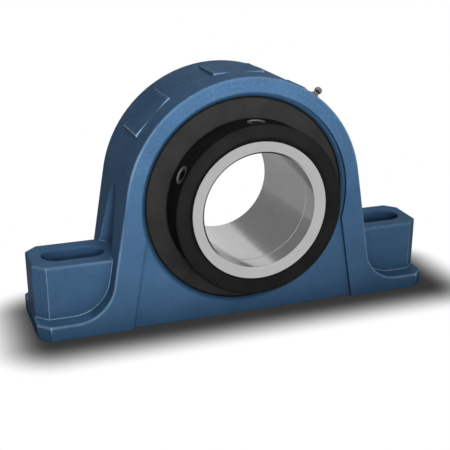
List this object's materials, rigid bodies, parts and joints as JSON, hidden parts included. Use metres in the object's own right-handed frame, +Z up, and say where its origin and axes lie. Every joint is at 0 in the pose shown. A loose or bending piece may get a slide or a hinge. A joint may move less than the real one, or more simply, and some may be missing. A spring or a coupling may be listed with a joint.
{
  "type": "pillow block bearing",
  "caption": "Solid-foot cast pillow block with a self-aligning spherical roller bearing, a set-screw locking collar on its extended inner ring and a grease nipple",
  "frame": {"origin": "on the mounting face, below the middle of the bearing", "axes": "+X along the feet from bolt slot to bolt slot, Y along the shaft with -Y on the collar side (the front), +Z up from the mounting face"},
  "size_m": [0.2266, 0.0703, 0.13],
  "materials": {
    "casting_paint": "satin blue enamel over cast iron",
    "ring_steel": "ground and honed bearing steel",
    "collar_black": "blackened turned steel",
    "screw_black": "blackened steel set screw",
    "seal_shield": "dark grey coated sheet steel",
    "seal_rubber": "matt black nitrile rubber",
    "spring_steel": "dark phosphated spring steel",
    "cage_steel": "pressed sheet steel",
    "zinc_plate": "bright zinc-plated steel"
  },
  "bodies": {
    "housing_body": {"housing": "casting_paint", "outer_ring": "ring_steel", "seal_front": "seal_shield", "seal_rear": "seal_shield", "seal_lip_front": "seal_rubber", "seal_lip_rear": "seal_rubber", "snap_ring_front": "spring_steel", "snap_ring_rear": "spring_steel", "nipple_body": "zinc_plate", "nipple_spring": "spring_steel"},
    "guide_ring_body": {"guide_ring": "ring_steel"},
    "inner_ring_body": {"inner_ring": "ring_steel", "locking_collar": "collar_black", "set_screw_top": "screw_black", "set_screw_side": "screw_black"},
    "cage_front_body": {"cage_front": "cage_steel"},
    "cage_rear_body": {"cage_rear": "cage_steel"},
    "nipple_ball_body": {"nipple_ball": "ring_steel"},
    "roller_front_01_body": {"roller_front_01": "ring_steel"},
    "roller_front_02_body": {"roller_front_02": "ring_steel"},
    "roller_front_03_body": {"roller_front_03": "ring_steel"},
    "roller_front_04_body": {"roller_front_04": "ring_steel"},
    "roller_front_05_body": {"roller_front_05": "ring_steel"},
    "roller_front_06_body": {"roller_front_06": "ring_steel"},
    "roller_front_07_body": {"roller_front_07": "ring_steel"},
    "roller_front_08_body": {"roller_front_08": "ring_steel"},
    "roller_front_09_body": {"roller_front_09": "ring_steel"},
    "roller_front_10_body": {"roller_front_10": "ring_steel"},
    "roller_front_11_body": {"roller_front_11": "ring_steel"},
    "roller_front_12_body": {"roller_front_12": "ring_steel"},
    "roller_front_13_body": {"roller_front_13": "ring_steel"},
    "roller_front_14_body": {"roller_front_14": "ring_steel"},
    "roller_front_15_body": {"roller_front_15": "ring_steel"},
    "roller_front_16_body": {"roller_front_16": "ring_steel"},
    "roller_front_17_body": {"roller_front_17": "ring_steel"},
    "roller_rear_01_body": {"roller_rear_01": "ring_steel"},
    "roller_rear_02_body": {"roller_rear_02": "ring_steel"},
    "roller_rear_03_body": {"roller_rear_03": "ring_steel"},
    "roller_rear_04_body": {"roller_rear_04": "ring_steel"},
    "roller_rear_05_body": {"roller_rear_05": "ring_steel"},
    "roller_rear_06_body": {"roller_rear_06": "ring_steel"},
    "roller_rear_07_body": {"roller_rear_07": "ring_steel"},
    "roller_rear_08_body": {"roller_rear_08": "ring_steel"},
    "roller_rear_09_body": {"roller_rear_09": "ring_steel"},
    "roller_rear_10_body": {"roller_rear_10": "ring_steel"},
    "roller_rear_11_body": {"roller_rear_11": "ring_steel"},
    "roller_rear_12_body": {"roller_rear_12": "ring_steel"},
    "roller_rear_13_body": {"roller_rear_13": "ring_steel"},
    "roller_rear_14_body": {"roller_rear_14": "ring_steel"},
    "roller_rear_15_body": {"roller_rear_15": "ring_steel"},
    "roller_rear_16_body": {"roller_rear_16": "ring_steel"},
    "roller_rear_17_body": {"roller_rear_17": "ring_steel"}
  },
  "joints": [
    {"name": "self_align", "type": "hinge", "parent": "housing_body", "child": "guide_ring_body", "pos_m": [0, 0, 0.0635], "axis": [1, 0, 0], "range_deg": [-1.5, 1.5]},
    {"name": "shaft_spin", "type": "hinge", "parent": "guide_ring_body", "child": "inner_ring_body", "pos_m": [0, 0, 0.0635], "axis": [0, 1, 0], "continuous": true},
    {"name": "cage_front_spin", "type": "hinge", "parent": "guide_ring_body", "child": "cage_front_body", "pos_m": [0, 0, 0.0635], "axis": [0, 1, 0], "continuous": true},
    {"name": "roller_front_01_spin", "type": "hinge", "parent": "cage_front_body", "child": "roller_front_01_body", "pos_m": [0.04228, -0.00715, 0.0635], "axis": [0.1668, 0.986, 0], "continuous": true},
    {"name": "roller_front_02_spin", "type": "hinge", "parent": "cage_front_body", "child": "roller_front_02_body", "pos_m": [0.03942, -0.00715, 0.07877], "axis": [0.1555, 0.986, 0.0602], "continuous": true},
    {"name": "roller_front_03_spin", "type": "hinge", "parent": "cage_front_body", "child": "roller_front_03_body", "pos_m": [0.03125, -0.00715, 0.09198], "axis": [0.1232, 0.986, 0.1124], "continuous": true},
    {"name": "roller_front_04_spin", "type": "hinge", "parent": "cage_front_body", "child": "roller_front_04_body", "pos_m": [0.01885, -0.00715, 0.10135], "axis": [0.0743, 0.986, 0.1493], "continuous": true},
    {"name": "roller_front_05_spin", "type": "hinge", "parent": "cage_front_body", "child": "roller_front_05_body", "pos_m": [0.0039, -0.00715, 0.1056], "axis": [0.0154, 0.986, 0.1661], "continuous": true},
    {"name": "roller_front_06_spin", "type": "hinge", "parent": "cage_front_body", "child": "roller_front_06_body", "pos_m": [-0.01157, -0.00715, 0.10417], "axis": [-0.0456, 0.986, 0.1604], "continuous": true},
    {"name": "roller_front_07_spin", "type": "hinge", "parent": "cage_front_body", "child": "roller_front_07_body", "pos_m": [-0.02548, -0.00715, 0.09724], "axis": [-0.1005, 0.986, 0.1331], "continuous": true},
    {"name": "roller_front_08_spin", "type": "hinge", "parent": "cage_front_body", "child": "roller_front_08_body", "pos_m": [-0.03595, -0.00715, 0.08576], "axis": [-0.1418, 0.986, 0.0878], "continuous": true},
    {"name": "roller_front_09_spin", "type": "hinge", "parent": "cage_front_body", "child": "roller_front_09_body", "pos_m": [-0.04156, -0.00715, 0.07127], "axis": [-0.1639, 0.986, 0.0306], "continuous": true},
    {"name": "roller_front_10_spin", "type": "hinge", "parent": "cage_front_body", "child": "roller_front_10_body", "pos_m": [-0.04156, -0.00715, 0.05573], "axis": [-0.1639, 0.986, -0.0306], "continuous": true},
    {"name": "roller_front_11_spin", "type": "hinge", "parent": "cage_front_body", "child": "roller_front_11_body", "pos_m": [-0.03595, -0.00715, 0.04124], "axis": [-0.1418, 0.986, -0.0878], "continuous": true},
    {"name": "roller_front_12_spin", "type": "hinge", "parent": "cage_front_body", "child": "roller_front_12_body", "pos_m": [-0.02548, -0.00715, 0.02976], "axis": [-0.1005, 0.986, -0.1331], "continuous": true},
    {"name": "roller_front_13_spin", "type": "hinge", "parent": "cage_front_body", "child": "roller_front_13_body", "pos_m": [-0.01157, -0.00715, 0.02283], "axis": [-0.0456, 0.986, -0.1604], "continuous": true},
    {"name": "roller_front_14_spin", "type": "hinge", "parent": "cage_front_body", "child": "roller_front_14_body", "pos_m": [0.0039, -0.00715, 0.0214], "axis": [0.0154, 0.986, -0.1661], "continuous": true},
    {"name": "roller_front_15_spin", "type": "hinge", "parent": "cage_front_body", "child": "roller_front_15_body", "pos_m": [0.01885, -0.00715, 0.02565], "axis": [0.0743, 0.986, -0.1493], "continuous": true},
    {"name": "roller_front_16_spin", "type": "hinge", "parent": "cage_front_body", "child": "roller_front_16_body", "pos_m": [0.03125, -0.00715, 0.03502], "axis": [0.1232, 0.986, -0.1124], "continuous": true},
    {"name": "roller_front_17_spin", "type": "hinge", "parent": "cage_front_body", "child": "roller_front_17_body", "pos_m": [0.03942, -0.00715, 0.04823], "axis": [0.1555, 0.986, -0.0602], "continuous": true},
    {"name": "cage_rear_spin", "type": "hinge", "parent": "guide_ring_body", "child": "cage_rear_body", "pos_m": [0, 0, 0.0635], "axis": [0, 1, 0], "continuous": true},
    {"name": "roller_rear_01_spin", "type": "hinge", "parent": "cage_rear_body", "child": "roller_rear_01_body", "pos_m": [0.04156, 0.00715, 0.07127], "axis": [-0.1639, 0.986, -0.0306], "continuous": true},
    {"name": "roller_rear_02_spin", "type": "hinge", "parent": "cage_rear_body", "child": "roller_rear_02_body", "pos_m": [0.03595, 0.00715, 0.08576], "axis": [-0.1418, 0.986, -0.0878], "continuous": true},
    {"name": "roller_rear_03_spin", "type": "hinge", "parent": "cage_rear_body", "child": "roller_rear_03_body", "pos_m": [0.02548, 0.00715, 0.09724], "axis": [-0.1005, 0.986, -0.1331], "continuous": true},
    {"name": "roller_rear_04_spin", "type": "hinge", "parent": "cage_rear_body", "child": "roller_rear_04_body", "pos_m": [0.01157, 0.00715, 0.10417], "axis": [-0.0456, 0.986, -0.1604], "continuous": true},
    {"name": "roller_rear_05_spin", "type": "hinge", "parent": "cage_rear_body", "child": "roller_rear_05_body", "pos_m": [-0.0039, 0.00715, 0.1056], "axis": [0.0154, 0.986, -0.1661], "continuous": true},
    {"name": "roller_rear_06_spin", "type": "hinge", "parent": "cage_rear_body", "child": "roller_rear_06_body", "pos_m": [-0.01885, 0.00715, 0.10135], "axis": [0.0743, 0.986, -0.1493], "continuous": true},
    {"name": "roller_rear_07_spin", "type": "hinge", "parent": "cage_rear_body", "child": "roller_rear_07_body", "pos_m": [-0.03125, 0.00715, 0.09198], "axis": [0.1232, 0.986, -0.1124], "continuous": true},
    {"name": "roller_rear_08_spin", "type": "hinge", "parent": "cage_rear_body", "child": "roller_rear_08_body", "pos_m": [-0.03942, 0.00715, 0.07877], "axis": [0.1555, 0.986, -0.0602], "continuous": true},
    {"name": "roller_rear_09_spin", "type": "hinge", "parent": "cage_rear_body", "child": "roller_rear_09_body", "pos_m": [-0.04228, 0.00715, 0.0635], "axis": [0.1668, 0.986, 0], "continuous": true},
    {"name": "roller_rear_10_spin", "type": "hinge", "parent": "cage_rear_body", "child": "roller_rear_10_body", "pos_m": [-0.03942, 0.00715, 0.04823], "axis": [0.1555, 0.986, 0.0602], "continuous": true},
    {"name": "roller_rear_11_spin", "type": "hinge", "parent": "cage_rear_body", "child": "roller_rear_11_body", "pos_m": [-0.03125, 0.00715, 0.03502], "axis": [0.1232, 0.986, 0.1124], "continuous": true},
    {"name": "roller_rear_12_spin", "type": "hinge", "parent": "cage_rear_body", "child": "roller_rear_12_body", "pos_m": [-0.01885, 0.00715, 0.02565], "axis": [0.0743, 0.986, 0.1493], "continuous": true},
    {"name": "roller_rear_13_spin", "type": "hinge", "parent": "cage_rear_body", "child": "roller_rear_13_body", "pos_m": [-0.0039, 0.00715, 0.0214], "axis": [0.0154, 0.986, 0.1661], "continuous": true},
    {"name": "roller_rear_14_spin", "type": "hinge", "parent": "cage_rear_body", "child": "roller_rear_14_body", "pos_m": [0.01157, 0.00715, 0.02283], "axis": [-0.0456, 0.986, 0.1604], "continuous": true},
    {"name": "roller_rear_15_spin", "type": "hinge", "parent": "cage_rear_body", "child": "roller_rear_15_body", "pos_m": [0.02548, 0.00715, 0.02976], "axis": [-0.1005, 0.986, 0.1331], "continuous": true},
    {"name": "roller_rear_16_spin", "type": "hinge", "parent": "cage_rear_body", "child": "roller_rear_16_body", "pos_m": [0.03595, 0.00715, 0.04124], "axis": [-0.1418, 0.986, 0.0878], "continuous": true},
    {"name": "roller_rear_17_spin", "type": "hinge", "parent": "cage_rear_body", "child": "roller_rear_17_body", "pos_m": [0.04156, 0.00715, 0.05573], "axis": [-0.1639, 0.986, 0.0306], "continuous": true},
    {"name": "nipple_ball_slide", "type": "slide", "parent": "housing_body", "child": "nipple_ball_body", "axis": [-0.7071, 0, -0.7071], "range_m": [0, 0.0008], "stiffness_N_per_m": 400, "springref_m": -0.0005, "deforming": ["nipple_spring"]}
  ],
  "couplings": [
    {"joint": "cage_front_spin", "follows": "shaft_spin", "ratio": 0.42421},
    {"joint": "roller_front_01_spin", "follows": "shaft_spin", "ratio": -3.1776},
    {"joint": "roller_front_02_spin", "follows": "shaft_spin", "ratio": -3.1776},
    {"joint": "roller_front_03_spin", "follows": "shaft_spin", "ratio": -3.1776},
    {"joint": "roller_front_04_spin", "follows": "shaft_spin", "ratio": -3.1776},
    {"joint": "roller_front_05_spin", "follows": "shaft_spin", "ratio": -3.1776},
    {"joint": "roller_front_06_spin", "follows": "shaft_spin", "ratio": -3.1776},
    {"joint": "roller_front_07_spin", "follows": "shaft_spin", "ratio": -3.1776},
    {"joint": "roller_front_08_spin", "follows": "shaft_spin", "ratio": -3.1776},
    {"joint": "roller_front_09_spin", "follows": "shaft_spin", "ratio": -3.1776},
    {"joint": "roller_front_10_spin", "follows": "shaft_spin", "ratio": -3.1776},
    {"joint": "roller_front_11_spin", "follows": "shaft_spin", "ratio": -3.1776},
    {"joint": "roller_front_12_spin", "follows": "shaft_spin", "ratio": -3.1776},
    {"joint": "roller_front_13_spin", "follows": "shaft_spin", "ratio": -3.1776},
    {"joint": "roller_front_14_spin", "follows": "shaft_spin", "ratio": -3.1776},
    {"joint": "roller_front_15_spin", "follows": "shaft_spin", "ratio": -3.1776},
    {"joint": "roller_front_16_spin", "follows": "shaft_spin", "ratio": -3.1776},
    {"joint": "roller_front_17_spin", "follows": "shaft_spin", "ratio": -3.1776},
    {"joint": "cage_rear_spin", "follows": "shaft_spin", "ratio": 0.42421},
    {"joint": "roller_rear_01_spin", "follows": "shaft_spin", "ratio": -3.1776},
    {"joint": "roller_rear_02_spin", "follows": "shaft_spin", "ratio": -3.1776},
    {"joint": "roller_rear_03_spin", "follows": "shaft_spin", "ratio": -3.1776},
    {"joint": "roller_rear_04_spin", "follows": "shaft_spin", "ratio": -3.1776},
    {"joint": "roller_rear_05_spin", "follows": "shaft_spin", "ratio": -3.1776},
    {"joint": "roller_rear_06_spin", "follows": "shaft_spin", "ratio": -3.1776},
    {"joint": "roller_rear_07_spin", "follows": "shaft_spin", "ratio": -3.1776},
    {"joint": "roller_rear_08_spin", "follows": "shaft_spin", "ratio": -3.1776},
    {"joint": "roller_rear_09_spin", "follows": "shaft_spin", "ratio": -3.1776},
    {"joint": "roller_rear_10_spin", "follows": "shaft_spin", "ratio": -3.1776},
    {"joint": "roller_rear_11_spin", "follows": "shaft_spin", "ratio": -3.1776},
    {"joint": "roller_rear_12_spin", "follows": "shaft_spin", "ratio": -3.1776},
    {"joint": "roller_rear_13_spin", "follows": "shaft_spin", "ratio": -3.1776},
    {"joint": "roller_rear_14_spin", "follows": "shaft_spin", "ratio": -3.1776},
    {"joint": "roller_rear_15_spin", "follows": "shaft_spin", "ratio": -3.1776},
    {"joint": "roller_rear_16_spin", "follows": "shaft_spin", "ratio": -3.1776},
    {"joint": "roller_rear_17_spin", "follows": "shaft_spin", "ratio": -3.1776}
  ]
}
